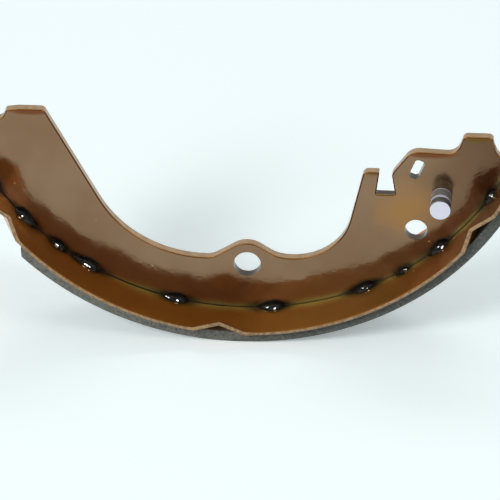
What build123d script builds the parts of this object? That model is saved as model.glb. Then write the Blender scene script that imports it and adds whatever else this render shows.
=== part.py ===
from build123d import *
from math import cos, degrees, hypot, radians, sin, tan
import os

# Drum brake shoe, standing on its lining like a cradle. Millimetres, +Z up.
# The web lies in the XZ plane, +Y points away from the lever pin's side, and the origin is
# the centre of the hold-down hole at the middle of the web's thickness.
# Angles are measured about the drum's axis, from straight down, positive towards +X.

# Drum and shoe ring
drum_radius = 114.3           # the lining's outer face matches a 228.6 mm drum
lining_thickness = 4.0
rim_thickness = 1.5
rim_width = 41.0
rim_edge_chamfer = 0.25
rim_corner_round = 2.0        # plan rounding at the rim's four corners
rim_left_angle = -70.2
rim_right_angle = 66.6

# Friction lining, bonded to the rim
lining_width = 35.8
lining_left_angle = -46.1
lining_right_angle = 62.5
lining_lead_depth = 2.1       # chamfer at each end, radially
lining_lead_run = 2.6         # the same chamfer, along the arc

# Stamped web
web_thickness = 3.8
web_edge_chamfer = 0.45       # broken edge of the stamping, on both faces
web_left_angle = -69.6
web_right_angle = 65.8

# Locating nibs pressed into both edges of the rim
nib_angles = (-53.5, -3.9, 54.3)
nib_depth = 3.8
nib_half_width = 9.7
nib_reach = 9.0               # how far each nib runs in from the rim's edge
nib_crest_round = 1.6
nib_root_round = 5.0
nib_foot_share = 1.5          # wedge's foot beyond the root corners, in half widths
nib_bite_share = 0.25         # wedge's bite into the rim, of the rim's thickness

# Hold-down hole, and the hump of web that surrounds it
hold_down_angle = 1.3
hold_down_inset = 18.4        # from the rim's inner face to the hole's centre
hold_down_radius = 5.05
hump_radius = 8.8
hump_slope = 32.5
left_valley_height = 2.2      # web's inner edge beside the hump, above the hole's centre
right_valley_height = 3.0
left_valley_round = 7.5
right_valley_round = 13.0

# Anchor end (left): heights and runs from the web's lower left corner
anchor_ear_run = 3.6
anchor_ear_rise = 5.4
anchor_ear_round = 3.5
anchor_root_run = 13.4
anchor_root_rise = 6.4
anchor_root_round = 2.2
anchor_tab_rise = 3.5         # tab's outer corner, above its root
anchor_tab_lean = 1.4
anchor_tab_width = 13.9
anchor_tab_slant_run = 4.6    # the short slanted stretch at the tab's outer side
anchor_tab_slant_rise = 0.7
anchor_tab_round = 2.0
anchor_flank_slope = 61.3
anchor_sweep_round = 45.6

# Cylinder end (right): heights and runs from the web's lower right corner
cylinder_root_run = 6.1
cylinder_root_rise = 5.9
cylinder_root_round = 9.0
cylinder_tab_rise = 5.7
cylinder_tab_width = 10.9
cylinder_tab_round = 2.0
cylinder_step_rise = 7.7
cylinder_step_lean = 2.8
cylinder_step_round = 5.0
cylinder_shoulder_drop = 0.7  # fall of the edge between the bevel and the step
cylinder_bevel_round = 6.0

# Strut notch between the finger and the cylinder end
notch_angle = 42.2
notch_inset = 29.5            # from the rim's inner face to the middle of the notch's floor
notch_floor_width = 7.1
notch_mouth_width = 4.6
notch_wall_height = 8.3       # right wall, up to the lip
notch_lip_run = 0.9           # the lip leans back to a small nose where the bevel starts
notch_lip_rise = 1.8
notch_bevel_run = 6.35
notch_floor_round = 0.5
notch_lip_round = 1.5
notch_nose_round = 0.5
finger_height = 9.4
finger_top_width = 5.8
finger_slope = 76.8
finger_corner_round = 2.4
finger_tip_round = 0.6
finger_sweep_round = 22.0

# Return-spring hole, slanted spring slot
spring_hole_angle = 41.4
spring_hole_inset = 11.1
spring_hole_radius = 4.2
slot_angle = 53.7
slot_inset = 28.4
slot_length = 8.1
slot_width = 3.7
slot_round = 1.3
slot_slant = 67.5             # long side, from horizontal

# Parking-lever pin: a shouldered rivet whose tenon goes through the web
pin_angle = 51.6
pin_inset = 14.3
pin_radius = 3.9
pin_reach = 10.4              # beyond the web's face
pin_tenon_radius = 3.2
pin_relief_width = 0.3        # relief at the journal's foot, against the web
pin_relief_depth = 0.2
pin_journal_length = 5.3      # bearing length for the lever, up to the clip groove
pin_groove_width = 1.1
pin_groove_depth = 0.55
pin_end_chamfer = 0.12
pin_head_radius = 5.2
pin_head_height = 1.6
pin_head_chamfer = 0.8

# Weld nuggets along the web's seam: angle and length of each
welds = (
    (-57.4, 9.0), (-47.4, 12.0), (-38.8, 7.5), (-31.8, 12.5), (-13.2, 11.0),
    (5.6, 11.5), (24.5, 10.5), (33.5, 5.5), (41.9, 11.5), (57.4, 9.5),
)
weld_full_length = 12.0       # a nugget this long or longer reaches the height and the reach below
weld_height = 2.5             # up the web
weld_reach = 3.9              # out on the rim
weld_stations = (-0.75, -0.3, 0.3, 0.75)   # sections of a nugget, as shares of half its length
weld_section_steps = 5        # flats round a section's outer side

# Most of an outline's side that the roundings at its two ends may use
rounding_share = 0.99
match_tolerance = 0.001       # edges picked by their place or length agree to this

# Derived sizes
rim_outer_radius = drum_radius - lining_thickness
seam_radius = rim_outer_radius - rim_thickness
hold_down_orbit = seam_radius - hold_down_inset
axis_x = -hold_down_orbit * sin(radians(hold_down_angle))
axis_z = hold_down_orbit * cos(radians(hold_down_angle))


def polar(radius, angle):
    """Point (x, z) at a radius from the drum's axis."""
    a = radians(angle)
    return (axis_x + radius * sin(a), axis_z - radius * cos(a))


def shifted(point, run, rise):
    return (point[0] + run, point[1] + rise)


def at_depth(point, y):
    return Vector(point[0], y, point[1])


def rounded_edges(corners, y=0.0, closed=True):
    """Edges of an outline in the XZ plane, each corner given as (point, radius). Where two
    neighbouring roundings don't both fit on a side, they are cut back by the same share."""
    count = len(corners)
    points = [at_depth(point, y) for point, _ in corners]
    sides = [points[(i + 1) % count] - points[i] for i in range(count)]
    turns = [radians(sides[i - 1].get_angle(sides[i])) for i in range(count)]
    reaches = [corners[i][1] * tan(turns[i] / 2) for i in range(count)]
    for i in range(count):
        following = (i + 1) % count
        wanted = reaches[i] + reaches[following]
        room = rounding_share * sides[i].length
        if wanted > room:
            reaches[i] *= room / wanted
            reaches[following] *= room / wanted
    starts = [points[i] - sides[i - 1].normalized() * reaches[i] for i in range(count)]
    ends = [points[i] + sides[i].normalized() * reaches[i] for i in range(count)]
    edges = []
    for i in range(count):
        if reaches[i] > 0:
            radius = reaches[i] / tan(turns[i] / 2)
            inward = ((starts[i] + ends[i]) * 0.5 - points[i]).normalized()
            middle = points[i] + inward * radius * (1 / cos(turns[i] / 2) - 1)
            edges.append(Edge.make_three_point_arc(starts[i], middle, ends[i]))
        if closed or i < count - 1:
            edges.append(Edge.make_line(ends[i], starts[(i + 1) % count]))
    return edges


def arc_band(inner, outer, left_angle, right_angle):
    """Face of a ring sector in the XZ plane."""
    middle_angle = (left_angle + right_angle) / 2

    def arc(radius):
        return [at_depth(polar(radius, a), 0) for a in (left_angle, middle_angle, right_angle)]

    low, high = arc(outer), arc(inner)
    return Face(Wire([
        Edge.make_three_point_arc(*low),
        Edge.make_line(low[2], high[2]),
        Edge.make_three_point_arc(*reversed(high)),
        Edge.make_line(high[0], low[0]),
    ]))


def slab(face, thickness):
    """A face in the XZ plane made solid, evenly to both sides of it."""
    return extrude(face, amount=thickness / 2, dir=(0, 1, 0), both=True)


def round_hole(point, radius):
    depth = 2 * web_thickness
    return Pos(point[0], 0, point[1]) * Rot(90, 0, 0) * Cylinder(radius, depth)


def web_inner_corners():
    """The web's inner edge, from the lower left corner to the lower right one."""
    left = polar(seam_radius, web_left_angle)
    right = polar(seam_radius, web_right_angle)

    ear = shifted(left, anchor_ear_run, anchor_ear_rise)
    root = shifted(left, anchor_root_run, anchor_root_rise)
    tab_outer = shifted(root, anchor_tab_lean, anchor_tab_rise)
    tab_bend = shifted(tab_outer, anchor_tab_slant_run, anchor_tab_slant_rise)
    tab_inner = (tab_outer[0] + anchor_tab_width, tab_bend[1])
    flank_run = (tab_inner[1] - left_valley_height) / tan(radians(anchor_flank_slope))
    sweep = (tab_inner[0] + flank_run, left_valley_height)

    crest_height = hump_radius / cos(radians(hump_slope))
    grade = tan(radians(hump_slope))
    left_valley = (-(crest_height - left_valley_height) / grade, left_valley_height)
    right_valley = ((crest_height - right_valley_height) / grade, right_valley_height)

    floor = polar(seam_radius - notch_inset, notch_angle)
    floor_left = shifted(floor, -notch_floor_width / 2, 0)
    floor_right = shifted(floor, notch_floor_width / 2, 0)
    mouth_inset = (notch_floor_width - notch_mouth_width) / 2
    finger_tip = shifted(floor_left, mouth_inset, finger_height)
    finger_corner = shifted(finger_tip, -finger_top_width, 0)
    finger_run = (finger_corner[1] - right_valley_height) / tan(radians(finger_slope))
    finger_foot = (finger_corner[0] - finger_run, right_valley_height)
    lip = shifted(floor_right, -mouth_inset, notch_wall_height)
    nose = shifted(lip, notch_lip_run, notch_lip_rise)

    cylinder_root = shifted(right, -cylinder_root_run, cylinder_root_rise)
    tab_right = shifted(cylinder_root, 0, cylinder_tab_rise)
    tab_left = shifted(tab_right, -cylinder_tab_width, 0)
    step_foot = shifted(tab_left, -cylinder_step_lean, -cylinder_step_rise)
    bevel_top = (nose[0] + notch_bevel_run, step_foot[1] + cylinder_shoulder_drop)

    return [
        (left, 0), (ear, anchor_ear_round), (root, anchor_root_round),
        (tab_outer, anchor_tab_round / 2), (tab_bend, anchor_tab_slant_run),
        (tab_inner, anchor_tab_round), (sweep, anchor_sweep_round),
        (left_valley, left_valley_round), ((0, crest_height), hump_radius),
        (right_valley, right_valley_round), (finger_foot, finger_sweep_round),
        (finger_corner, finger_corner_round), (finger_tip, finger_tip_round),
        (floor_left, notch_floor_round), (floor_right, notch_floor_round),
        (lip, notch_lip_round), (nose, notch_nose_round), (bevel_top, cylinder_bevel_round),
        (step_foot, cylinder_step_round), (tab_left, cylinder_tab_round),
        (tab_right, cylinder_tab_round), (cylinder_root, cylinder_root_round), (right, 0),
    ]


def slot_cutter():
    """Rounded slanted slot, cut right through the web."""
    outline = RectangleRounded(slot_length, slot_width, slot_round)
    block = extrude(outline, amount=web_thickness, both=True)
    centre = polar(seam_radius - slot_inset, slot_angle)
    return Pos(centre[0], 0, centre[1]) * Rot(90, 0, 0) * Rot(0, 0, slot_slant) * block


def build_web():
    corners = web_inner_corners()
    inner = rounded_edges(corners, closed=False)
    seam = Edge.make_three_point_arc(
        at_depth(corners[-1][0], 0),
        at_depth(polar(seam_radius, (web_left_angle + web_right_angle) / 2), 0),
        at_depth(corners[0][0], 0),
    )
    plate = slab(Face(Wire(inner + [seam])), web_thickness)
    face_edges = [e for e in plate.edges() if abs(abs(e.center().Y) - web_thickness / 2) < match_tolerance]

    def clear_of_seam(edge):
        middle = edge.position_at(0.5)
        return hypot(middle.X - axis_x, middle.Z - axis_z) < seam_radius - web_edge_chamfer

    plate = chamfer([e for e in face_edges if clear_of_seam(e)], web_edge_chamfer)
    plate -= round_hole((0, 0), hold_down_radius)
    plate -= round_hole(polar(seam_radius - spring_hole_inset, spring_hole_angle), spring_hole_radius)
    plate -= round_hole(polar(seam_radius - pin_inset, pin_angle), pin_tenon_radius)
    plate -= slot_cutter()
    return plate


def nib_wedge(angle, base_radius, side):
    """Pressed dart that fades from the rim's edge to nothing: as metal it stands inside
    base_radius, and as a cutter it hollows the rim's outer face."""
    half_turn = degrees(nib_half_width / base_radius)
    skin = rim_thickness * nib_bite_share
    foot_turn = nib_foot_share * half_turn
    edge_y = side * rim_width / 2
    outer = base_radius + skin
    corners = [
        (polar(outer, angle - foot_turn), 0),
        (polar(base_radius, angle - half_turn), nib_root_round),
        (polar(base_radius - nib_depth, angle), nib_crest_round),
        (polar(base_radius, angle + half_turn), nib_root_round),
        (polar(outer, angle + foot_turn), 0),
        (polar(outer + skin, angle), 0),
    ]
    profile = Face(Wire(rounded_edges(corners, y=edge_y)))
    tip = Vertex(*at_depth(polar(base_radius + skin / 2, angle), edge_y - side * nib_reach))
    return loft([profile, tip])


def build_rim():
    band = slab(arc_band(seam_radius, rim_outer_radius, rim_left_angle, rim_right_angle), rim_width)
    corners = [e for e in band.edges() if abs(e.length - rim_thickness) < match_tolerance]
    band = fillet(corners, rim_corner_round)
    band = chamfer(band.faces().sort_by(drum_distance)[0].edges(), rim_edge_chamfer)
    for side in (-1, 1):
        for angle in nib_angles:
            band += nib_wedge(angle, seam_radius, side)
            band -= nib_wedge(angle, rim_outer_radius, side)
    return band


def drum_distance(shape):
    """How far the middle of a face or edge lies from the drum's axis."""
    middle = shape.position_at(0.5, 0.5) if isinstance(shape, Face) else shape.position_at(0.5)
    return hypot(middle.X - axis_x, middle.Z - axis_z)


def build_lining():
    lead_angle = degrees(lining_lead_run / drum_radius)
    bevel_radius = drum_radius - lining_lead_depth
    middle_angle = (lining_left_angle + lining_right_angle) / 2

    def point(radius, angle):
        return at_depth(polar(radius, angle), 0)

    inner_left = point(rim_outer_radius, lining_left_angle)
    inner_right = point(rim_outer_radius, lining_right_angle)
    bevel_left = point(bevel_radius, lining_left_angle)
    bevel_right = point(bevel_radius, lining_right_angle)
    outer_left = point(drum_radius, lining_left_angle + lead_angle)
    outer_right = point(drum_radius, lining_right_angle - lead_angle)
    outline = Wire([
        Edge.make_line(inner_left, bevel_left),
        Edge.make_line(bevel_left, outer_left),
        Edge.make_three_point_arc(outer_left, point(drum_radius, middle_angle), outer_right),
        Edge.make_line(outer_right, bevel_right),
        Edge.make_line(bevel_right, inner_right),
        Edge.make_three_point_arc(inner_right, point(rim_outer_radius, middle_angle), inner_left),
    ])
    return slab(Face(outline), lining_width)


def build_lever_pin():
    """Turned about its axis from the riveted head, through the tenon and journal, to the tip."""
    front = web_thickness / 2
    back = -front
    head_top = back - pin_head_height
    journal_foot = front + pin_relief_width
    groove_near = journal_foot + pin_journal_length
    groove_far = groove_near + pin_groove_width
    tip = front + pin_reach
    relief_radius = pin_radius - pin_relief_depth
    groove_radius = pin_radius - pin_groove_depth
    profile = [
        (0, head_top),
        (pin_head_radius - pin_head_chamfer, head_top),
        (pin_head_radius, head_top + pin_head_chamfer),
        (pin_head_radius, back),
        (pin_tenon_radius, back),
        (pin_tenon_radius, front),
        (relief_radius, front),
        (relief_radius, journal_foot),
        (pin_radius, journal_foot),
        (pin_radius, groove_near),
        (groove_radius, groove_near),
        (groove_radius, groove_far),
        (pin_radius, groove_far),
        (pin_radius, tip - pin_end_chamfer),
        (pin_radius - pin_end_chamfer, tip),
        (0, tip),
    ]
    half = Face(Wire.make_polygon([(radius, 0, height) for radius, height in profile], close=True))
    centre = polar(seam_radius - pin_inset, pin_angle)
    seat = Plane((centre[0], 0, centre[1]), x_dir=(1, 0, 0), z_dir=(0, -1, 0))
    return seat * revolve(half, axis=Axis.Z)


def weld_nugget(angle, length, side):
    """Bead that fills the corner between the web and the rim, and comes to a point at each end."""
    web_face = side * web_thickness / 2
    half_turn = degrees(length / 2 / seam_radius)
    size = min(1, length / weld_full_length)

    def point(share, height, reach):
        foot = polar(seam_radius - height, angle + share * half_turn)
        return at_depth(foot, web_face + side * reach)

    def section(share):
        bulge = size * (1 - share * share)
        outline = [point(share, 0, 0)]
        for step in range(weld_section_steps + 1):
            turn = radians(90 * step / weld_section_steps)
            outline.append(point(share, bulge * weld_height * cos(turn), bulge * weld_reach * sin(turn)))
        return Face(Wire.make_polygon(outline, close=True))

    ends = [Vertex(*point(share, 0, 0)) for share in (-1, 1)]
    return loft([ends[0], *(section(share) for share in weld_stations), ends[1]], ruled=True)


def build_weld_nuggets():
    beads = [weld_nugget(angle, length, side) for side in (-1, 1) for angle, length in welds]
    return Compound(children=beads)


os.makedirs("parts", exist_ok=True)
parts = {
    "web": build_web(),
    "rim": build_rim(),
    "lining": build_lining(),
    "lever_pin": build_lever_pin(),
    "weld_nuggets": build_weld_nuggets(),
}
for name, part in parts.items():
    export_step(part, f"parts/{name}.step")
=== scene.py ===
import math
from types import SimpleNamespace

import bpy
from mathutils import Matrix, Vector


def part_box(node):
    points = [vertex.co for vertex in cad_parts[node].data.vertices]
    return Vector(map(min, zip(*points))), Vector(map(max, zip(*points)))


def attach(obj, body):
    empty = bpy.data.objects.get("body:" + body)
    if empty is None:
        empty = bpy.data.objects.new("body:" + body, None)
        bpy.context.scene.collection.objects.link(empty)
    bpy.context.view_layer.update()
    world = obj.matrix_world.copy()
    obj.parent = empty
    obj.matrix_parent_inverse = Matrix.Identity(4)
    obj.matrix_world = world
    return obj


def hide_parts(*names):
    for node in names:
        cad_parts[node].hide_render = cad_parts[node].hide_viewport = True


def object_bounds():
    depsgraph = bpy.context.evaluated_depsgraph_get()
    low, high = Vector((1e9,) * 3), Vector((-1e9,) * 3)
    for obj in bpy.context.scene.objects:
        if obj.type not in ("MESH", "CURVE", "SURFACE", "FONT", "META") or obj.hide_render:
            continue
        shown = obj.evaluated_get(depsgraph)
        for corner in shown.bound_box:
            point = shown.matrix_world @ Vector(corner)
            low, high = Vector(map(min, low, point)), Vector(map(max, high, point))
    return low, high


bl_info = {
    "name": "Brake shoe finishes",
    "version": (1, 0, 0),
    "blender": (4, 5, 0),
    "location": "View3D > Sidebar > Brake shoe",
    "description": "Lacquer, lining, pin, weld beads and stage for a drum brake shoe",
    "category": "Object",
}

MM = 0.001
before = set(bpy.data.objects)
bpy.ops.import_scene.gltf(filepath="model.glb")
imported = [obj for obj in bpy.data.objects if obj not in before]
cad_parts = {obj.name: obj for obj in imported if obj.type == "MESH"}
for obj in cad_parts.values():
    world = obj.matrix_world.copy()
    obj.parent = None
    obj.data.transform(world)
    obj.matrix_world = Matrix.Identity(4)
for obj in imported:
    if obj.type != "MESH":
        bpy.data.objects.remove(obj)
CAD_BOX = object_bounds()
FLOOR_HEIGHT = CAD_BOX[0].z

# The shoe's ring, as the solids have it. Angles are in degrees about the drum's axis, from
# straight down, and positive towards the cylinder end.
WEB_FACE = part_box("web")[1].y
SEAM_RADIUS = 108.8 * MM
HOLD_DOWN_ANGLE = 1.3
HOLD_DOWN_ORBIT = 90.4 * MM
AXIS_X = -HOLD_DOWN_ORBIT * math.sin(math.radians(HOLD_DOWN_ANGLE))
AXIS_Z = HOLD_DOWN_ORBIT * math.cos(math.radians(HOLD_DOWN_ANGLE))
DRUM_AXIS = Vector((AXIS_X, 0, AXIS_Z))

# Weld beads: angle, and length in millimetres
WELDS = (
    (-57.4, 9.0), (-47.4, 12.0), (-38.8, 7.5), (-31.8, 12.5), (-13.2, 11.0),
    (5.6, 11.5), (24.5, 10.5), (33.5, 5.5), (41.9, 11.5), (57.4, 9.5),
)
FULL_BEAD = 12.0      # millimetres; a shorter bead is lower in proportion
BEAD_CREST = 0.3      # where the fullest part is, from the middle to an end
BEAD_POINTED = 1.05   # over 1 draws the ends out thin
BEAD_SUNK = 0.02      # how far its flat foot lies in the rim, of its height
FIRST_FORWARD = 2     # beads from the anchor end whose full end points to the anchor
SORT_FROM = (3, 5, 7)   # a point off to one side of the model bead, in the bead's own units

# The lacquer fillets along the seam: first and last angle, steps between, and how full they are
FILLET_FROM, FILLET_TO, FILLET_STEPS = -69.0, 65.3, 120
FILLET_FULL = 0.3

# Bands along the pin: middle, half width, colour and how metallic. The pale, barely metallic bands
# at the groove's lip and at the foot are painted highlights
PIN_BANDS = (
    (-10.2 * MM, 1.7 * MM, "pin_teal", 0.7),
    (-8.05 * MM, 0.65 * MM, "pin_groove", 0.7),
    (-7.45 * MM, 0.35 * MM, "zinc_bright", 0.15),
    (-2.3 * MM, 0.45 * MM, "zinc_bright", 0.1),
)
PIN_METAL = 0.7

# Runs of lacquer held under the top edges: middle, half length and colour
EDGE_RUNS = (
    ((67.5 * MM, 0, 49.9 * MM), 13.0 * MM, "run_orange"),
    ((86.2 * MM, 0, 57.2 * MM), 9.0 * MM, "run_olive"),
    ((46.8 * MM, 0, 41.8 * MM), 5.5 * MM, "run_olive"),
    ((-80.6 * MM, 0, 62.8 * MM), 11.0 * MM, "run_orange"),
)
RUN_REACH = 2.6 * MM
# Walls of the holes, coloured darker: angle, rise above the seam and reach
PUNCHED = (
    (HOLD_DOWN_ANGLE, SEAM_RADIUS - HOLD_DOWN_ORBIT, 5.4 * MM),   # hold-down hole
    (41.4, 11.1 * MM, 4.6 * MM),   # return-spring hole
    (53.7, 28.4 * MM, 4.6 * MM),   # slanted slot
    (42.2, 29.5 * MM, 4.2 * MM),   # foot of the strut notch
)
# Painted shade: the lacquer is darkened towards the cylinder end, between these distances along the
# shoe
SHADE_FROM, SHADE_TO = 58 * MM, 92 * MM
# Lacquer burnt round a full bead: its reach, and how far that stretches each way
BURN_REACH = 10.5 * MM
BURN_ALONG, BURN_OUT, BURN_UP = 1.25, 0.5, 0.38
FILLET_BURN_REACH = 10 * MM

# How the lacquer lies on the web's plate and on the rim's strip
ON_PLATE = SimpleNamespace(
    thin="web_thin", thick="web_thick", golden="web_golden", seam="seam_olive",
    pool=(59 * MM, 0, 26 * MM), pool_reach=22 * MM, seam_reach=3.4 * MM,
    tear_width=3.0 * MM, torn=0.35, metal=0.9, coat=0.3,
    # sheared all round its outline and holes, which don't face along the drum's axis
    cut_across=1.0, cut_along=0.0, runs=EDGE_RUNS, punched=PUNCHED)
ON_STRIP = SimpleNamespace(
    thin="rim_thin", thick="rim_thick", golden="rim_golden", seam="seam_gold",
    pool=(36 * MM, -11 * MM, -12 * MM), pool_reach=50 * MM, seam_reach=6.5 * MM,
    tear_width=1.1 * MM, torn=0.7, metal=0.8, coat=0.15,
    # sheared along its two sides, which face along the drum's axis
    cut_across=0.0, cut_along=1.0, runs=(), punched=())
# A thin gloss of lacquer over what lies under it
GLOSS = {"Coat Roughness": 0.06, "Coat IOR": 1.5}

# Softboxes, which gloss doesn't mirror: name, place, sides and watts
SOFTBOXES = (
    ("key_softbox", (-1.5, -1.8, 1.5), (0.9, 0.9), 35.0),
    ("back_softbox", (0.2, 1.6, 1.8), (1.6, 0.6), 8.4),
    ("side_softbox", (1.6, -1.0, 1.6), (0.8, 0.8), 9.2),
)
# Small lamps that only the weld beads see, for their sharp glints
GLINT_LAMPS = (
    ("glint_front", (0.13, -0.96, 0.88), (0.42, 0.42), 62.0),
    ("glint_left", (-0.87, -0.37, 0.87), (0.2, 0.2), 16.0),
)
# The studio: light from all round, what is seen of it, and what gloss mirrors of it
SKY_FILL, SKY_SEEN = 0.29, 0.985
SWEEP_BEHIND, ROOM_LEFT, ROOM_AHEAD = 0.95, 0.95, 0.42
ROOM_LEFT_AT = 0.27   # how far left of straight ahead the room is brightest
SOFTBOX_GAP, GAP_LEVEL = (0, -0.5, 0.866), 0.3

CAMERA_PLACE = Vector((0.381636, -5.760426, 3.387445))
CAMERA_TURN, CAMERA_TILT = -0.066, 0.53   # radians, to the right and down
CAMERA_LENS, CAMERA_SENSOR = 1300.0, 36.0


def linear(code):
    """sRGB hex colour to the linear values that a shader takes."""
    parts = [int(code[i:i + 2], 16) / 255 for i in (1, 3, 5)]
    return (*(c / 12.92 if c <= 0.04045 else ((c + 0.055) / 1.055) ** 2.4 for c in parts), 1.0)


def add_node(tree, kind, settings, inputs, output=0):
    """Adds a node with its settings, fills its inputs with values or links, and gives an output."""
    node = tree.nodes.new("ShaderNode" + kind)
    for name, value in settings.items():
        setattr(node, name, value)
    for name, value in inputs.items():
        if isinstance(value, bpy.types.NodeSocket):
            tree.links.new(value, node.inputs[name])
        else:
            node.inputs[name].default_value = value
    return node.outputs[output] if len(node.outputs) else None


# Settings that many nodes share
COLOUR = {"data_type": "RGBA"}
SMOOTH = {"interpolation_type": "SMOOTHSTEP"}
FITTED = {"vector_type": "TEXTURE"}
TIMES = {"operation": "MULTIPLY"}
TIMES_PLUS = {"operation": "MULTIPLY_ADD"}
PLUS = {"operation": "ADD"}
MINUS = {"operation": "SUBTRACT"}
LARGEST = {"operation": "MAXIMUM"}
SMALLEST = {"operation": "MINIMUM"}
UNSIGNED = {"operation": "ABSOLUTE"}
OVER = {"operation": "GREATER_THAN"}
UNDER = {"operation": "LESS_THAN"}
LENGTH = {"operation": "LENGTH"}


def new_material(name):
    """Empty node material, its tree and its object coordinates."""
    material = bpy.data.materials.new(name)
    material.use_nodes = True
    tree = material.node_tree
    tree.nodes.clear()
    return material, tree, add_node(tree, "TexCoord", {}, {}, "Object")


def seam_point(angle, radius=SEAM_RADIUS, y=0.0):
    """Point at an angle and a radius about the drum's axis."""
    turn = math.radians(angle)
    return Vector((AXIS_X + radius * math.sin(turn), y, AXIS_Z - radius * math.cos(turn)))


def off_axis(tree, place, through):
    """Distance from an axis that runs through a point, parallel to the drum's."""
    offset = add_node(tree, "VectorMath", MINUS, {0: place, 1: through})
    apart = add_node(tree, "SeparateXYZ", {}, {0: offset}).node.outputs
    flat = add_node(tree, "CombineXYZ", {}, {0: apart["X"], 2: apart["Z"]})
    return add_node(tree, "VectorMath", LENGTH, {0: flat}, "Value")


def weld_nearness(tree, place, reach):
    """1 at a weld's middle, falling to 0 at a reach from it, which is longest along the seam."""
    apart = add_node(tree, "SeparateXYZ", {}, {0: place}).node.outputs
    side = add_node(tree, "Math", UNSIGNED, {0: apart["Y"]})
    mirrored = add_node(tree, "CombineXYZ", {}, {0: apart["X"], 1: side, 2: apart["Z"]})
    nearest = None
    for angle, length in WELDS:
        middle = seam_point(angle, y=WEB_FACE)
        offset = add_node(tree, "VectorMath", MINUS, {0: mirrored, 1: middle})
        flat = add_node(tree, "Mapping", FITTED, {
            "Vector": offset, "Rotation": (0, -math.radians(angle), 0),
            "Scale": (BURN_ALONG * length / FULL_BEAD, BURN_OUT, BURN_UP)})
        gap = add_node(tree, "VectorMath", LENGTH, {0: flat}, "Value")
        nearest = gap if nearest is None else add_node(tree, "Math", SMALLEST, {0: nearest, 1: gap})
    return add_node(tree, "MapRange", SMOOTH, {
        "Value": nearest, "From Min": 0.35 * reach, "From Max": reach,
        "To Min": 1.0, "To Max": 0.0})


def hung_lacquer_and_shade(tree, place, wander, colours, lay):
    """Colour of the lacquer as it hung to dry: thin, thick in blotches about 20 mm across, golden
    in one wide pool, and darkened towards the cylinder end by painted shade."""
    blotches = add_node(tree, "TexNoise", {}, {
        "Vector": place, "Scale": 1 / (22 * MM), "Detail": 3.0, "Roughness": 0.45}, "Fac")
    thick = add_node(tree, "MapRange", SMOOTH, {
        "Value": blotches, "From Min": 0.35, "From Max": 0.68})
    colour = add_node(tree, "Mix", COLOUR, {
        0: thick, 6: linear(getattr(colours, lay.thin)), 7: linear(getattr(colours, lay.thick))}, 2)

    from_pool = add_node(tree, "VectorMath", MINUS, {0: place, 1: lay.pool})
    pool_gap = add_node(tree, "VectorMath", LENGTH, {0: from_pool}, "Value")
    ragged = add_node(tree, "Math", TIMES_PLUS, {0: wander, 1: 12 * MM, 2: pool_gap})
    golden = add_node(tree, "MapRange", SMOOTH, {
        "Value": ragged, "From Min": 0.35 * lay.pool_reach, "From Max": lay.pool_reach,
        "To Min": 0.75, "To Max": 0.0})
    colour = add_node(tree, "Mix", COLOUR, {
        0: golden, 6: colour, 7: linear(getattr(colours, lay.golden))}, 2)

    # painted shade: darker towards the cylinder end
    along = add_node(tree, "SeparateXYZ", {}, {0: place}, "X")
    shaded_end = add_node(tree, "MapRange", SMOOTH, {
        "Value": along, "From Min": SHADE_FROM, "From Max": SHADE_TO})
    return add_node(tree, "Mix", {"data_type": "RGBA", "blend_type": "MULTIPLY"}, {
        0: shaded_end, 6: colour, 7: linear(colours.shaded_end)}, 2)


def seam_creep(tree, place, wander, side, lay):
    """Where lacquer crept out of the seam and set in a soft band beside it, on the shoe's hollow
    side, fading out towards the anchor end."""
    radius = off_axis(tree, place, DRUM_AXIS)
    from_seam = add_node(tree, "Math", MINUS, {
        0: add_node(tree, "Math", MINUS, {0: side, 1: radius}), 1: WEB_FACE - SEAM_RADIUS})
    uneven = add_node(tree, "Math", TIMES_PLUS, {0: wander, 1: 2 * MM, 2: from_seam})
    crept = add_node(tree, "MapRange", SMOOTH, {
        "Value": uneven, "From Min": 0.7 * MM, "From Max": lay.seam_reach,
        "To Min": 0.85, "To Max": 0.0})
    along = add_node(tree, "SeparateXYZ", {}, {0: place}, "X")
    reached = add_node(tree, "MapRange", SMOOTH, {
        "Value": along, "From Min": -62 * MM, "From Max": -38 * MM})
    crept = add_node(tree, "Math", TIMES, {0: crept, 1: reached})
    hollow = add_node(tree, "Math", UNDER, {0: radius, 1: SEAM_RADIUS + 0.5 * MM})
    return add_node(tree, "Math", TIMES, {0: crept, 1: hollow})


def sheared_edge(tree, place, tears, colours, lay):
    """Colour of a sheared edge under thin lacquer: darker in its tear marks, and darkest in the
    walls of the holes."""
    torn = add_node(tree, "MapRange", SMOOTH, {
        "Value": tears, "From Min": 0.42, "From Max": 0.6, "To Max": lay.torn})
    edge = add_node(tree, "Mix", COLOUR, {
        0: torn, 6: linear(colours.edge_pale), 7: linear(colours.edge_dark)}, 2)
    for angle, rise, reach in lay.punched:
        from_middle = off_axis(tree, place, seam_point(angle, SEAM_RADIUS - rise))
        inside = add_node(tree, "Math", UNDER, {0: from_middle, 1: reach})
        edge = add_node(tree, "Mix", COLOUR, {0: inside, 6: edge, 7: linear(colours.punched)}, 2)
    return edge


def caught_dust(tree, place):
    """Specks of dust caught in the lacquer, about 0.6 mm across so that they show. Three cells of
    five, 7 mm wide, hold none."""
    cells = add_node(tree, "TexVoronoi", {"feature": "F1"}, {
        "Vector": place, "Scale": 1 / (7 * MM)}).node.outputs
    spot = add_node(tree, "MapRange", SMOOTH, {
        "Value": cells["Distance"], "From Min": 0.035, "From Max": 0.06,
        "To Min": 0.8, "To Max": 0.0})
    chance = add_node(tree, "SeparateColor", {}, {0: cells["Color"]})
    held = add_node(tree, "Math", OVER, {0: chance, 1: 0.6})
    return add_node(tree, "Math", TIMES, {0: spot, 1: held})


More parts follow.
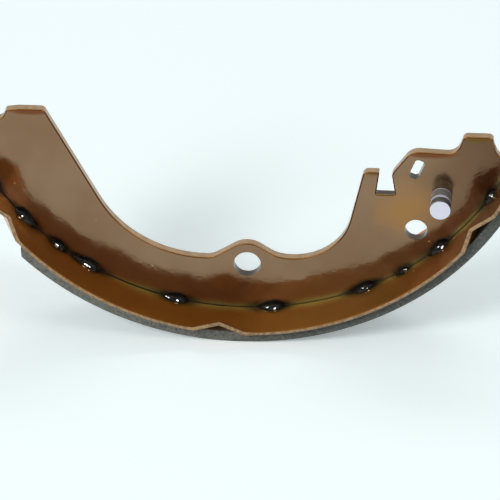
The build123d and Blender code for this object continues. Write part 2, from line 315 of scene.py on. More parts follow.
def lacquer_relief(tree, place, torn_edge, speck):
    """Surface of the set lacquer: sags 17 mm long, ripples of 5 mm and orange peel of 1.4 mm, then
    the grit of torn edges and the specks of dust."""
    sags = add_node(tree, "TexNoise", {}, {
        "Vector": place, "Scale": 1 / (17 * MM), "Detail": 1.0}, "Fac")
    ripples = add_node(tree, "TexNoise", {}, {
        "Vector": place, "Scale": 1 / (5 * MM), "Detail": 4.0, "Roughness": 0.62}, "Fac")
    orange_peel = add_node(tree, "TexNoise", {}, {
        "Vector": place, "Scale": 1 / (1.4 * MM), "Detail": 2.0}, "Fac")
    relief = add_node(tree, "Bump", {}, {"Height": sags, "Strength": 0.8, "Distance": 0.7 * MM})
    for height, strength, depth in (
            (ripples, 0.6, 0.16 * MM), (orange_peel, 0.2, 0.02 * MM),
            (torn_edge, 0.3, 0.08 * MM), (speck, 0.6, 0.12 * MM)):
        relief = add_node(tree, "Bump", {}, {
            "Height": height, "Strength": strength, "Distance": depth, "Normal": relief})
    return relief


def lacquered_steel(name, colours, lay):
    """Amber stoving lacquer dipped over bare steel: a tinted mirror, a little wavy, deeper where
    it pooled, burnt brown round the welds, and thin and grey-brown on sheared edges."""
    material, tree, place = new_material(name)
    normal = add_node(tree, "NewGeometry", {}, {}, "True Normal")
    faces = add_node(tree, "SeparateXYZ", {}, {0: normal}).node.outputs
    facing = add_node(tree, "Math", UNSIGNED, {0: faces["Y"]})
    cut = add_node(tree, "MapRange", SMOOTH, {
        "Value": facing, "From Min": 0.6, "From Max": 0.9,
        "To Min": lay.cut_across, "To Max": lay.cut_along})
    across = add_node(tree, "SeparateXYZ", {}, {0: place}, "Y")
    side = add_node(tree, "Math", UNSIGNED, {0: across})
    # what makes the borders of pools, bands and burns ragged, over about 9 mm
    wander = add_node(tree, "TexNoise", {}, {
        "Vector": place, "Scale": 1 / (9 * MM), "Detail": 2.0, "Roughness": 0.5}, "Fac")

    colour = hung_lacquer_and_shade(tree, place, wander, colours, lay)
    crept = seam_creep(tree, place, wander, side, lay)
    colour = add_node(tree, "Mix", COLOUR, {
        0: crept, 6: colour, 7: linear(getattr(colours, lay.seam))}, 2)
    # it ran down from the top edges and stopped in short bands under them, alike on both faces
    for middle, half_length, tint in lay.runs:
        flat = add_node(tree, "Mapping", FITTED, {
            "Vector": place, "Location": middle, "Scale": (half_length / RUN_REACH, 50, 1)})
        gap = add_node(tree, "VectorMath", LENGTH, {0: flat}, "Value")
        run = add_node(tree, "MapRange", SMOOTH, {
            "Value": gap, "From Min": 0.5 * RUN_REACH, "From Max": RUN_REACH,
            "To Min": 0.85, "To Max": 0.0})
        colour = add_node(tree, "Mix", COLOUR, {
            0: run, 6: colour, 7: linear(getattr(colours, tint))}, 2)

    # tear marks of the shears, about 1 mm apart on the strip and smoother on the stamping
    tears = add_node(tree, "TexNoise", {}, {
        "Vector": place, "Scale": 1 / lay.tear_width, "Detail": 2.0, "Roughness": 0.5}, "Fac")
    edge = sheared_edge(tree, place, tears, colours, lay)
    colour = add_node(tree, "Mix", COLOUR, {0: cut, 6: colour, 7: edge}, 2)
    # the rolled-over corner beside the cut, which faces halfway, has a painted reflection: nearly
    # black on the leaning sides, and amber with a pale painted highlight along its crest on the
    # tops
    slant = add_node(tree, "Math", {"operation": "COMPARE"}, {0: facing, 1: 0.707, 2: 0.08})
    upward = add_node(tree, "MapRange", SMOOTH, {
        "Value": faces["Z"], "From Min": 0.35, "From Max": 0.6})
    corner = add_node(tree, "Mix", COLOUR, {
        0: upward, 6: linear(colours.corner_dark), 7: linear(colours.corner)}, 2)
    colour = add_node(tree, "Mix", COLOUR, {0: slant, 6: colour, 7: corner}, 2)
    # painted highlight: a pale stripe that barely mirrors, on the top corners, along the part away
    # from the face
    by_cut = add_node(tree, "MapRange", SMOOTH, {
        "Value": side, "From Min": WEB_FACE - 0.32 * MM, "From Max": WEB_FACE - 0.16 * MM,
        "To Min": 0.65, "To Max": 0.0})
    top_corner = add_node(tree, "Math", TIMES, {0: slant, 1: upward})
    crest = add_node(tree, "Math", TIMES, {0: by_cut, 1: top_corner})
    colour = add_node(tree, "Mix", COLOUR, {0: crest, 6: colour, 7: linear(colours.crest)}, 2)

    # heat from welding burnt the lacquer within a few millimetres
    near = weld_nearness(tree, place, BURN_REACH)
    patchy = add_node(tree, "MapRange", SMOOTH, {
        "Value": wander, "From Min": 0.25, "From Max": 0.6, "To Min": 0.35, "To Max": 1.0})
    burnt = add_node(tree, "Math", TIMES, {0: near, 1: patchy})
    colour = add_node(tree, "Mix", COLOUR, {0: burnt, 6: colour, 7: linear(colours.burnt)}, 2)
    speck = caught_dust(tree, place)
    colour = add_node(tree, "Mix", COLOUR, {0: speck, 6: colour, 7: linear(colours.dust)}, 2)

    # dust and the painted highlight on the crests don't mirror
    matt = add_node(tree, "Math", LARGEST, {0: speck, 1: crest})
    shine = add_node(tree, "Math", TIMES_PLUS, {0: matt, 1: -lay.metal, 2: lay.metal})
    smear = add_node(tree, "TexNoise", {}, {
        "Vector": place, "Scale": 1 / (7 * MM), "Detail": 4.0, "Roughness": 0.6}, "Fac")
    rough = add_node(tree, "MapRange", SMOOTH, {
        "Value": smear, "From Min": 0.3, "From Max": 0.7, "To Min": 0.12, "To Max": 0.18})
    rough = add_node(tree, "Math", TIMES_PLUS, {0: cut, 1: 0.12, 2: rough})
    relief = lacquer_relief(
        tree, place, add_node(tree, "Math", TIMES, {0: tears, 1: cut}), speck)
    shader = add_node(tree, "BsdfPrincipled", {}, {
        "Base Color": colour, "Metallic": shine, "Roughness": rough, "Normal": relief,
        "Coat Weight": lay.coat, "Coat Normal": relief, **GLOSS})
    add_node(tree, "OutputMaterial", {}, {"Surface": shader})
    return material


def friction_lining(name, colours):
    """Moulded friction compound, ground to radius: matt grey resin with painted light, paler
    towards the anchor end, with pale fibres and dark grit, and pitted where grains pulled out."""
    material, tree, place = new_material(name)
    # resin in clouds about 6 mm across
    clouds = add_node(tree, "TexNoise", {}, {
        "Vector": place, "Scale": 1 / (6 * MM), "Detail": 4.0, "Roughness": 0.6}, "Fac")
    # painted light and shade: paler towards the anchor end, darker towards the cylinder end
    along = add_node(tree, "SeparateXYZ", {}, {0: place}, "X")
    painted_light = add_node(tree, "MapRange", SMOOTH, {
        "Value": along, "From Min": -70 * MM, "From Max": 60 * MM, "To Min": 0.25, "To Max": -0.25})
    tone = add_node(tree, "Math", PLUS, {0: clouds, 1: painted_light})
    tone = add_node(tree, "MapRange", SMOOTH, {"Value": tone, "From Min": 0.2, "From Max": 0.8})
    base = add_node(tree, "Mix", COLOUR, {
        0: tone, 6: linear(colours.lining_dark), 7: linear(colours.lining_pale)}, 2)
    # dark grit and pale fibres, in grains about 0.7 mm across
    cells = add_node(tree, "TexVoronoi", {"feature": "F1"}, {
        "Vector": place, "Scale": 1 / (0.7 * MM)}, "Color")
    lot = add_node(tree, "SeparateColor", {}, {0: cells}).node.outputs
    dark_grains = add_node(tree, "MapRange", SMOOTH, {
        "Value": lot[0], "From Min": 0.55, "From Max": 0.95, "To Min": 0.0, "To Max": 0.5})
    base = add_node(tree, "Mix", COLOUR, {
        0: dark_grains, 6: base, 7: linear(colours.lining_grit)}, 2)
    fibres = add_node(tree, "MapRange", SMOOTH, {
        "Value": lot[1], "From Min": 0.8, "From Max": 0.98, "To Min": 0.0, "To Max": 0.3})
    base = add_node(tree, "Mix", COLOUR, {0: fibres, 6: base, 7: linear(colours.lining_fibre)}, 2)
    pores = add_node(tree, "TexNoise", {}, {
        "Vector": place, "Scale": 1 / (0.7 * MM), "Detail": 4.0, "Roughness": 0.65}, "Fac")
    pits = add_node(tree, "Bump", {}, {"Height": pores, "Strength": 0.8, "Distance": 0.15 * MM})
    dullness = add_node(tree, "MapRange", SMOOTH, {"Value": lot[1], "To Min": 0.75, "To Max": 0.92})
    shader = add_node(tree, "BsdfPrincipled", {}, {
        "Base Color": base, "Roughness": dullness, "Specular IOR Level": 0.35, "Normal": pits})
    add_node(tree, "OutputMaterial", {}, {"Surface": shader})
    return material


def zinc_plate(name, colours):
    """Zinc plate over turned steel: pale and smooth on the cut end, greyer down the side, with
    fine turning rings."""
    material, tree, place = new_material(name)
    normal = add_node(tree, "NewGeometry", {}, {}, "True Normal")
    end_on = add_node(tree, "SeparateXYZ", {}, {0: normal}, "Y")
    facing = add_node(tree, "Math", UNSIGNED, {0: end_on})
    on_side = add_node(tree, "MapRange", SMOOTH, {
        "Value": facing, "From Min": 0.3, "From Max": 0.9, "To Min": 1.0, "To Max": 0.0})
    along = add_node(tree, "SeparateXYZ", {}, {0: place}, "Y")
    # turning marks down the side, 0.35 mm apart so that they show
    phase = add_node(tree, "Math", TIMES, {0: along, 1: 2 * math.pi / (0.35 * MM)})
    rings = add_node(tree, "Math", {"operation": "SINE"}, {0: phase})
    cloudy = add_node(tree, "TexNoise", {}, {
        "Vector": place, "Scale": 1 / (2.5 * MM), "Detail": 3.0}, "Fac")
    stain = add_node(tree, "MapRange", SMOOTH, {
        "Value": cloudy, "From Min": 0.35, "From Max": 0.7, "To Min": 0.6, "To Max": 1.0})
    stain = add_node(tree, "Math", TIMES, {0: stain, 1: on_side})
    colour = add_node(tree, "Mix", COLOUR, {
        0: stain, 6: linear(colours.zinc_bright), 7: linear(colours.zinc_dull)}, 2)
    # darker in the clip groove, and painted highlights on the groove's lip and on the foot
    shine = PIN_METAL
    for middle, half_width, tint, band_metal in PIN_BANDS:
        offset = add_node(tree, "Math", MINUS, {0: along, 1: middle})
        band = add_node(tree, "MapRange", SMOOTH, {
            "Value": add_node(tree, "Math", UNSIGNED, {0: offset}),
            "From Min": 0.6 * half_width, "From Max": half_width, "To Min": 1.0, "To Max": 0.0})
        colour = add_node(tree, "Mix", COLOUR, {
            0: band, 6: colour, 7: linear(getattr(colours, tint))}, 2)
        shine = add_node(tree, "Mix", {}, {0: band, 2: shine, 3: band_metal})
    side_rings = add_node(tree, "Math", TIMES, {0: rings, 1: on_side})
    marks = add_node(tree, "Bump", {}, {
        "Height": side_rings, "Strength": 0.15, "Distance": 0.02 * MM})
    rough = add_node(tree, "Math", TIMES_PLUS, {0: stain, 1: 0.14, 2: 0.18})
    shader = add_node(tree, "BsdfPrincipled", {}, {
        "Base Color": colour, "Metallic": shine, "Roughness": rough, "Normal": marks})
    add_node(tree, "OutputMaterial", {}, {"Surface": shader})
    return material


def burnt_weld(name, colours):
    """Projection weld metal, scaled black by its own heat under a thin gloss of lacquer."""
    material, tree, place = new_material(name)
    mottle = add_node(tree, "TexNoise", {}, {
        "Vector": place, "Scale": 1 / (1.6 * MM), "Detail": 3.0}, "Fac")
    browned = add_node(tree, "MapRange", SMOOTH, {
        "Value": mottle, "From Min": 0.4, "From Max": 0.75})
    colour = add_node(tree, "Mix", COLOUR, {
        0: browned, 6: linear(colours.weld_black), 7: linear(colours.weld_brown)}, 2)
    # spatter froze on it in lumps about 2 mm across
    blobs = add_node(tree, "TexNoise", {}, {
        "Vector": place, "Scale": 1 / (2.2 * MM), "Detail": 2.0}, "Fac")
    lumps = add_node(tree, "Bump", {}, {"Height": blobs, "Strength": 0.7, "Distance": 0.4 * MM})
    shader = add_node(tree, "BsdfPrincipled", {}, {
        "Base Color": colour, "Roughness": 0.6, "Specular IOR Level": 0.0, "Normal": lumps,
        "Coat Weight": 0.7, "Coat Normal": lumps, **GLOSS})
    add_node(tree, "OutputMaterial", {}, {"Surface": shader})
    return material


def pooled_lacquer(name, colours):
    """Lacquer that ran into the seam and set: dark towards the anchor end, olive where it is
    thick towards the cylinder end, burnt at the welds."""
    material, tree, place = new_material(name)
    near = weld_nearness(tree, place, FILLET_BURN_REACH)
    runs = add_node(tree, "TexNoise", {}, {
        "Vector": place, "Scale": 1 / (8 * MM), "Detail": 2.0}, "Fac")
    along = add_node(tree, "SeparateXYZ", {}, {0: place}, "X")
    lean = add_node(tree, "MapRange", SMOOTH, {
        "Value": along, "From Min": -70 * MM, "From Max": 20 * MM, "To Min": -0.3, "To Max": 0.25})
    thick = add_node(tree, "Math", PLUS, {0: runs, 1: lean})
    thick = add_node(tree, "MapRange", SMOOTH, {"Value": thick, "From Min": 0.35, "From Max": 0.7})
    colour = add_node(tree, "Mix", COLOUR, {
        0: thick, 6: linear(colours.pool_dark), 7: linear(colours.pool_olive)}, 2)
    colour = add_node(tree, "Mix", COLOUR, {0: near, 6: colour, 7: linear(colours.burnt)}, 2)
    ripple = add_node(tree, "TexNoise", {}, {
        "Vector": place, "Scale": 1 / (2 * MM), "Detail": 2.0}, "Fac")
    waves = add_node(tree, "Bump", {}, {"Height": ripple, "Strength": 0.4, "Distance": 0.1 * MM})
    shader = add_node(tree, "BsdfPrincipled", {}, {
        "Base Color": colour, "Metallic": 0.7, "Roughness": 0.35, "Normal": waves})
    add_node(tree, "OutputMaterial", {}, {"Surface": shader})
    return material


def studio_floor(name, colours):
    """Matt white paper sweep. Seen directly or in a reflection it is lifted towards white, and
    the shoe's shadow stays on it."""
    material, tree, place = new_material(name)
    # slow change of tone, about 400 mm long
    tone = add_node(tree, "TexNoise", {}, {
        "Vector": place, "Scale": 1 / (400 * MM), "Detail": 1.0}, "Fac")
    paper = add_node(tree, "Mix", COLOUR, {
        0: tone, 6: linear(colours.floor), 7: linear(colours.floor_shade)}, 2)
    diffuse = add_node(tree, "BsdfDiffuse", {}, {"Color": paper})
    path = add_node(tree, "LightPath", {}, {}).node.outputs
    mirrored = add_node(tree, "Math", LARGEST, {
        0: path["Is Glossy Ray"], 1: path["Is Transmission Ray"]})
    seen = add_node(tree, "Math", LARGEST, {0: path["Is Camera Ray"], 1: mirrored})
    strength = add_node(tree, "Math", TIMES, {0: seen, 1: colours.floor_lift})
    lift = add_node(tree, "Emission", {}, {"Color": paper, "Strength": strength})
    add_node(tree, "OutputMaterial", {}, {
        "Surface": add_node(tree, "AddShader", {}, {0: diffuse, 1: lift})})
    return material


def dress(node, material):
    """Gives a node of the model its material."""
    node.data.materials.clear()
    node.data.materials.append(material)


def deselect_all():
    """Leaves edit mode and selects nothing."""
    if bpy.context.object and bpy.context.object.mode != "OBJECT":
        bpy.ops.object.mode_set(mode="OBJECT")
    bpy.ops.object.select_all(action="DESELECT")


def edit_selected(obj, chosen):
    """Goes into edit mode with only the vertices that a test chooses."""
    bpy.ops.object.mode_set(mode="EDIT")
    bpy.ops.mesh.select_mode(type="VERT")
    bpy.ops.mesh.select_all(action="DESELECT")
    bpy.ops.object.mode_set(mode="OBJECT")
    for vertex in obj.data.vertices:
        vertex.select = chosen(vertex.co)
    bpy.ops.object.mode_set(mode="EDIT")


def bake_place():
    """Puts the selected pieces' place, turn and scale in their meshes."""
    bpy.ops.object.transform_apply(location=True, rotation=True, scale=True)


def join(context, parts, name):
    """Joins the parts into one piece with its place in its mesh."""
    deselect_all()
    for part in parts:
        part.select_set(True)
    context.view_layer.objects.active = parts[0]
    bake_place()
    bpy.ops.object.join()
    context.object.name = name
    return context.object


class ShoeColours(bpy.types.PropertyGroup):
    """Colours of the finishes, as sRGB hex codes."""
    web_thin: bpy.props.StringProperty(
        name="Web, thin", description="Amber over the web where it is thin", default="#8E7054")
    web_thick: bpy.props.StringProperty(
        name="Web, thick", description="Amber over the web where it ran", default="#86664A")
    rim_thin: bpy.props.StringProperty(
        name="Rim, thin", description="Amber over the rim where it is thin", default="#CE842D")
    rim_thick: bpy.props.StringProperty(
        name="Rim, thick", description="Amber over the rim where it ran", default="#BE7321")
    web_golden: bpy.props.StringProperty(
        name="Web, golden", description="Pool beside the pin", default="#A6763A")
    rim_golden: bpy.props.StringProperty(
        name="Rim, golden", description="Pool along the rim", default="#B88638")
    edge_pale: bpy.props.StringProperty(
        name="Edge, pale", description="Sheared edge under thin lacquer", default="#AC8A66")
    edge_dark: bpy.props.StringProperty(
        name="Edge, dark", description="Tear marks of the edge", default="#7E6148")
    # Painted shade over the lacquer towards the cylinder end
    shaded_end: bpy.props.StringProperty(
        name="Shaded", description="Over the lacquer at the end that hung lowest",
        default="#C6BCAE")
    punched: bpy.props.StringProperty(
        name="Punched walls", description="Inside the holes", default="#3E2D1F")
    # The rolled corner's painted reflection: amber on the tops, dark on the leaning sides
    corner: bpy.props.StringProperty(
        name="Corner", description="Reflected lacquer on the rolled corner", default="#B8742F")
    corner_dark: bpy.props.StringProperty(
        name="Corner, dark", description="Rolled corner on leaning sides", default="#6E3E1E")
    # Painted highlight along the crest of the rolled corner
    crest: bpy.props.StringProperty(
        name="Crest", description="Painted crest of the rolled corner", default="#C0905C")
    run_orange: bpy.props.StringProperty(
        name="Run, orange", description="Under the top edges", default="#72380A")
    run_olive: bpy.props.StringProperty(
        name="Run, olive", description="Under the tab tops", default="#6A4A0C")
    burnt: bpy.props.StringProperty(
        name="Burnt lacquer", description="Round the welds", default="#241910")
    dust: bpy.props.StringProperty(
        name="Dust", description="Specks in the lacquer", default="#C9A57A")
    lining_dark: bpy.props.StringProperty(
        name="Lining, dark", description="Resin", default="#5A5D58")
    # The pale resin, which also carries the painted light towards the anchor end
    lining_pale: bpy.props.StringProperty(
        name="Lining, pale", description="Resin, rubbed", default="#7C7C75")
    lining_grit: bpy.props.StringProperty(
        name="Lining grit", description="Dark grains", default="#3B3B38")
    lining_fibre: bpy.props.StringProperty(
        name="Lining fibre", description="Pale fibres", default="#A3A29B")
    # Also the colour of the painted highlights at the pin's groove lip and foot
    zinc_bright: bpy.props.StringProperty(
        name="Zinc, bright", description="Cut end of the pin", default="#E2E0EC")
    zinc_dull: bpy.props.StringProperty(
        name="Zinc, dull", description="Side of the pin", default="#B9BDBA")
    pin_teal: bpy.props.StringProperty(
        name="Pin, teal", description="Side past the groove", default="#929C99")
    pin_groove: bpy.props.StringProperty(
        name="Pin groove", description="Darker in the groove", default="#56625F")
    weld_black: bpy.props.StringProperty(
        name="Weld scale", description="Black scale", default="#100D0A")
    weld_brown: bpy.props.StringProperty(
        name="Weld lacquer", description="Brown over the scale", default="#1C150F")
    seam_gold: bpy.props.StringProperty(
        name="Seam, gold", description="Band on the rim beside the seam", default="#E1BA61")
    seam_olive: bpy.props.StringProperty(
        name="Seam, olive", description="Band on the web beside the seam", default="#8F9368")
    pool_olive: bpy.props.StringProperty(
        name="Seam, thick", description="Thick lacquer in the seam", default="#4E431E")
    pool_dark: bpy.props.StringProperty(
        name="Seam, dark", description="Thin lacquer in the seam", default="#2E1C0E")
    floor: bpy.props.StringProperty(name="Floor", description="Paper sweep", default="#F5FEFF")
    floor_shade: bpy.props.StringProperty(
        name="Floor, shade", description="Paper sweep", default="#F1FAFB")
    floor_lift: bpy.props.FloatProperty(
        name="Floor lift", description="Lift to white", default=0.302, min=0.0)


class ShoeSizes(bpy.types.PropertyGroup):
    """Sizes of the pieces that are added to the model."""
    bead_height: bpy.props.FloatProperty(
        name="Bead height", description="A full bead, up the web", default=2.5 * MM, unit="LENGTH")
    bead_reach: bpy.props.FloatProperty(
        name="Bead reach", description="A full bead, out on the rim", default=3.9 * MM,
        unit="LENGTH")
    fillet_leg: bpy.props.FloatProperty(
        name="Seam fillet", description="Leg of the pooled lacquer", default=0.35 * MM,
        unit="LENGTH")
    floor_size: bpy.props.FloatProperty(
        name="Floor size", description="Side of the paper sweep", default=6.0, unit="LENGTH")


class SHOE_OT_lacquer(bpy.types.Operator):
    """Lacquer the web and the rim"""
    bl_idname = "shoe.lacquer"
    bl_label = "Lacquer web and rim"

    def execute(self, context):
        colours = context.scene.shoe_colours
        on_plate = lacquered_steel("amber_lacquer_on_plate", colours, ON_PLATE)
        on_strip = lacquered_steel("amber_lacquer_on_strip", colours, ON_STRIP)
        dress(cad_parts["web"], on_plate)
        dress(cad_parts["rim"], on_strip)
        return {"FINISHED"}


class SHOE_OT_lining(bpy.types.Operator):
    """Give the lining its moulded friction compound"""
    bl_idname = "shoe.lining"
    bl_label = "Friction lining"

    def execute(self, context):
        compound = friction_lining("moulded_friction_compound", context.scene.shoe_colours)
        dress(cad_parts["lining"], compound)
        return {"FINISHED"}


class SHOE_OT_pin(bpy.types.Operator):
    """Plate the lever pin"""
    bl_idname = "shoe.pin"
    bl_label = "Lever pin"

    def execute(self, context):
        plate = zinc_plate("bright_zinc_plate", context.scene.shoe_colours)
        dress(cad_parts["lever_pin"], plate)
        return {"FINISHED"}


class SHOE_OT_weld_beads(bpy.types.Operator):
    """Model one weld bead, and copy it along both sides of the seam"""
    bl_idname = "shoe.weld_beads"
    bl_label = "Weld beads"

    def execute(self, context):
        sizes = context.scene.shoe_sizes
        deselect_all()
        # a ball with its poles along the seam, one unit each way
        bpy.ops.mesh.primitive_uv_sphere_add(
            segments=28, ring_count=18, radius=1.0, rotation=(0, math.pi / 2, 0))
        master = context.object
        bake_place()
        # pull each ring in, so that the ball becomes a drop: full near one end, with a thin tail
        for along in sorted({round(vertex.co.x, 4) for vertex in master.data.vertices}):
            if abs(along) < 0.999:
                edit_selected(master, lambda co: abs(co.x - along) < 1e-3)
                to_end = 1 - BEAD_CREST if along > BEAD_CREST else 1 + BEAD_CREST
                from_crest = (along - BEAD_CREST) / to_end
                narrow = (1 - from_crest ** 2) ** BEAD_POINTED / math.sqrt(1 - along * along)
                bpy.ops.transform.resize(
                    value=(1, narrow, narrow), center_override=(along, 0, 0))
        # and cut it flat, where it lies against the web and on the rim. The ball's edges come in
        # another order each run, and the cuts' new vertices follow it, so it is settled first
        context.scene.cursor.location = SORT_FROM
        for through, keep in (((0, 0, 0), (0, 1, 0)), ((0, 0, -BEAD_SUNK), (0, 0, 1))):
            bpy.ops.mesh.select_all(action="SELECT")
            bpy.ops.mesh.sort_elements(type="CURSOR_DISTANCE", elements={"EDGE", "FACE"})
            bpy.ops.mesh.bisect(plane_co=through, plane_no=keep, use_fill=True, clear_inner=True)
        context.scene.cursor.location = (0, 0, 0)
        bpy.ops.object.mode_set(mode="OBJECT")

        beads = []
        for side in (-1, 1):
            for index, (angle, length) in enumerate(WELDS):
                scale = min(1.0, length / FULL_BEAD)
                bead = master.copy()
                bead.data = master.data.copy()
                context.collection.objects.link(bead)
                forward = -1 if index < FIRST_FORWARD else 1
                size = (length * MM / 2 * forward, side * scale * sizes.bead_reach,
                        scale * sizes.bead_height)
                turn = Matrix.Rotation(-math.radians(angle), 4, "Y")
                foot = seam_point(angle, y=side * WEB_FACE)
                bead.matrix_world = Matrix.Translation(foot) @ turn @ Matrix.Diagonal((*size, 1))
                beads.append(bead)
        bpy.data.objects.remove(master)
        group = join(context, beads, "weld_beads")
        bpy.ops.object.mode_set(mode="EDIT")
        bpy.ops.mesh.select_all(action="SELECT")
        bpy.ops.mesh.normals_make_consistent(inside=False)
        bpy.ops.transform.vertex_random(offset=0.05 * MM, uniform=0.0, normal=0.0, seed=7)
        bpy.ops.mesh.vertices_smooth(factor=0.3, repeat=1)
        bpy.ops.object.mode_set(mode="OBJECT")
        bpy.ops.object.shade_smooth_by_angle(angle=math.radians(50))
        burnt = burnt_weld("scaled_weld_under_lacquer", context.scene.shoe_colours)
        group.data.materials.append(burnt)
        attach(group, "root")
        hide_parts("weld_nuggets")
        return {"FINISHED"}


class SHOE_OT_seam_fillets(bpy.types.Operator):
    """Run a fillet of pooled lacquer along the seam, on both sides of the web"""
    bl_idname = "shoe.seam_fillets"
    bl_label = "Seam fillets"

    def execute(self, context):
        leg = context.scene.shoe_sizes.fillet_leg
        inward = (DRUM_AXIS - seam_point(FILLET_FROM)).normalized() * leg
        strips = []
        for side in (-1, 1):
            deselect_all()
            bpy.ops.mesh.primitive_plane_add(
                size=leg, location=(0, 0, 0), rotation=(math.pi / 2, 0, 0))
            strip = context.object
            bake_place()
            # its section: a corner in the seam, a leg out on the rim, and a leg up the web
            outward = Vector((0, side * leg, 0))
            start = seam_point(FILLET_FROM, y=side * WEB_FACE)
            corners = {0: start, 1: start + outward, 3: start + FILLET_FULL * (outward + inward),
                       2: start + inward}
            for index, corner in corners.items():
                strip.data.vertices[index].co = corner
            bpy.ops.object.mode_set(mode="EDIT")
            bpy.ops.mesh.select_all(action="SELECT")
            bpy.ops.mesh.spin(
                steps=FILLET_STEPS, angle=math.radians(FILLET_TO - FILLET_FROM),
                use_auto_merge=False, center=DRUM_AXIS, axis=(0, 1, 0))
            bpy.ops.mesh.select_all(action="SELECT")
            bpy.ops.mesh.remove_doubles(threshold=1e-6)
            bpy.ops.mesh.normals_make_consistent(inside=False)
            bpy.ops.object.mode_set(mode="OBJECT")
            strips.append(strip)
        group = join(context, strips, "seam_lacquer")
        bpy.ops.object.shade_smooth_by_angle(angle=math.radians(40))
        pooled = pooled_lacquer("pooled_amber_lacquer", context.scene.shoe_colours)
        group.data.materials.append(pooled)
        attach(group, "root")
        return {"FINISHED"}


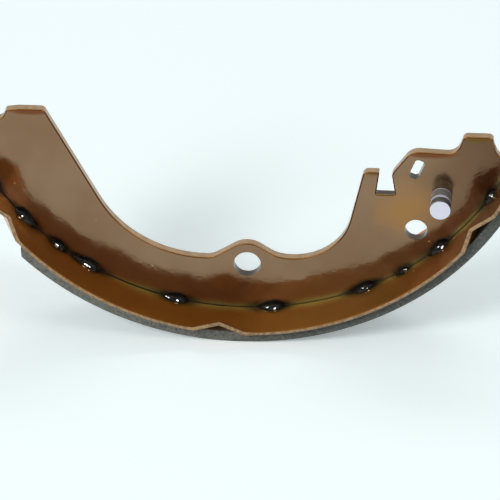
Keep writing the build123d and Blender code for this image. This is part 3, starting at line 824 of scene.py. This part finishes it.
class SHOE_OT_stage(bpy.types.Operator):
    """Lay the floor, and set the lamps and the camera"""
    bl_idname = "shoe.stage"
    bl_label = "Stage"

    def lamp(self, context, name, place, sides, watts):
        """An area lamp that looks at the hold-down hole."""
        data = bpy.data.lights.new(name, "AREA")
        data.shape = "RECTANGLE"
        data.size, data.size_y = sides
        data.energy = watts
        lamp = bpy.data.objects.new(name, data)
        context.collection.objects.link(lamp)
        lamp.location = place
        lamp.rotation_euler = (-Vector(place)).to_track_quat("-Z", "Y").to_euler()
        return lamp

    def light_all_round(self, context, colours):
        """Soft light from all round, brighter behind than in front where gloss mirrors it."""
        world = bpy.data.worlds.new("studio")
        context.scene.world = world
        world.use_nodes = True
        tree = world.node_tree
        tree.nodes.clear()
        # what gloss mirrors: a bright sweep behind, a dimmer room in front that is brighter to the
        # left, and the dark gap between the softboxes, high in front
        ahead = add_node(tree, "TexCoord", {}, {}, "Generated")
        apart = add_node(tree, "SeparateXYZ", {}, {0: ahead}).node.outputs
        front = add_node(tree, "MapRange", SMOOTH, {
            "Value": apart["Y"], "From Min": -0.4, "From Max": 0.1, "To Min": 1.0, "To Max": 0.0})
        from_left = add_node(tree, "Math", PLUS, {0: apart["X"], 1: ROOM_LEFT_AT})
        room = add_node(tree, "MapRange", SMOOTH, {
            "Value": add_node(tree, "Math", UNSIGNED, {0: from_left}),
            "From Min": 0.05, "From Max": 0.24, "To Min": ROOM_LEFT, "To Max": ROOM_AHEAD})
        mirrored = add_node(tree, "Mix", {}, {0: front, 2: SWEEP_BEHIND, 3: room})
        towards = add_node(tree, "VectorMath", {"operation": "DOT_PRODUCT"}, {
            0: ahead, 1: SOFTBOX_GAP}, "Value")
        gap = add_node(tree, "MapRange", SMOOTH, {
            "Value": towards, "From Min": 0.86, "From Max": 0.97,
            "To Min": 1.0, "To Max": GAP_LEVEL})
        mirrored = add_node(tree, "Math", TIMES, {0: mirrored, 1: gap})
        path = add_node(tree, "LightPath", {}, {}).node.outputs
        gloss = add_node(tree, "Math", LARGEST, {
            0: path["Is Glossy Ray"], 1: path["Is Transmission Ray"]})
        strength = add_node(tree, "Mix", {}, {0: gloss, 2: SKY_FILL, 3: mirrored})
        strength = add_node(tree, "Mix", {}, {0: path["Is Camera Ray"], 2: strength, 3: SKY_SEEN})
        sky = add_node(tree, "Background", {}, {
            "Color": linear(colours.floor), "Strength": strength})
        add_node(tree, "OutputWorld", {}, {"Surface": sky})

    def place_camera(self, context):
        """A long lens far off in front, a little above the shoe."""
        data = bpy.data.cameras.new("studio_camera")
        data.sensor_width = CAMERA_SENSOR
        data.lens = CAMERA_LENS
        data.clip_start, data.clip_end = 0.1, 50.0
        camera = bpy.data.objects.new("studio_camera", data)
        context.collection.objects.link(camera)
        level = math.cos(CAMERA_TILT)
        right = Vector((math.cos(CAMERA_TURN), -math.sin(CAMERA_TURN), 0))
        ahead = Vector((math.sin(CAMERA_TURN) * level, math.cos(CAMERA_TURN) * level,
                        -math.sin(CAMERA_TILT)))
        facing = Matrix((right, right.cross(ahead), -ahead)).transposed()
        camera.matrix_world = Matrix.Translation(CAMERA_PLACE) @ facing.to_4x4()
        context.scene.camera = camera

    def execute(self, context):
        sizes, colours = context.scene.shoe_sizes, context.scene.shoe_colours
        deselect_all()
        bpy.ops.mesh.primitive_plane_add(size=sizes.floor_size, location=(0, 0, FLOOR_HEIGHT))
        floor = context.object
        floor.name = "paper_sweep"
        bake_place()
        floor.data.materials.append(studio_floor("white_paper_sweep", colours))

        self.light_all_round(context, colours)
        for name, place, sides, watts in SOFTBOXES:
            softbox = self.lamp(context, name, place, sides, watts)
            softbox.visible_glossy = False
        glinting = bpy.data.collections.new("glinting")
        glinting.objects.link(bpy.data.objects["weld_beads"])
        for name, place, sides, watts in GLINT_LAMPS:
            glint = self.lamp(context, name, place, sides, watts)
            glint.visible_diffuse = False
            glint.light_linking.receiver_collection = glinting
        self.place_camera(context)
        context.scene.view_settings.view_transform = "Standard"
        return {"FINISHED"}


STEPS = ("lacquer", "lining", "pin", "weld_beads", "seam_fillets", "stage")


class SHOE_PT_panel(bpy.types.Panel):
    """Finishes of the brake shoe"""
    bl_idname = "SHOE_PT_panel"
    bl_label = "Brake shoe"
    bl_space_type = "VIEW_3D"
    bl_region_type = "UI"
    bl_category = "Brake shoe"

    def draw(self, context):
        for group in (context.scene.shoe_colours, context.scene.shoe_sizes):
            for name in group.bl_rna.properties.keys():
                if name not in ("rna_type", "name"):
                    self.layout.prop(group, name)
        for step in STEPS:
            self.layout.operator("shoe." + step)


CLASSES = (
    ShoeColours, ShoeSizes, SHOE_OT_lacquer, SHOE_OT_lining, SHOE_OT_pin, SHOE_OT_weld_beads,
    SHOE_OT_seam_fillets, SHOE_OT_stage, SHOE_PT_panel,
)


def register():
    for cls in CLASSES:
        bpy.utils.register_class(cls)
    bpy.types.Scene.shoe_colours = bpy.props.PointerProperty(type=ShoeColours)
    bpy.types.Scene.shoe_sizes = bpy.props.PointerProperty(type=ShoeSizes)


def unregister():
    del bpy.types.Scene.shoe_sizes
    del bpy.types.Scene.shoe_colours
    for cls in reversed(CLASSES):
        bpy.utils.unregister_class(cls)


def main():
    register()
    for step in STEPS:
        getattr(bpy.ops.shoe, step)()


if __name__ == "__main__":
    main()
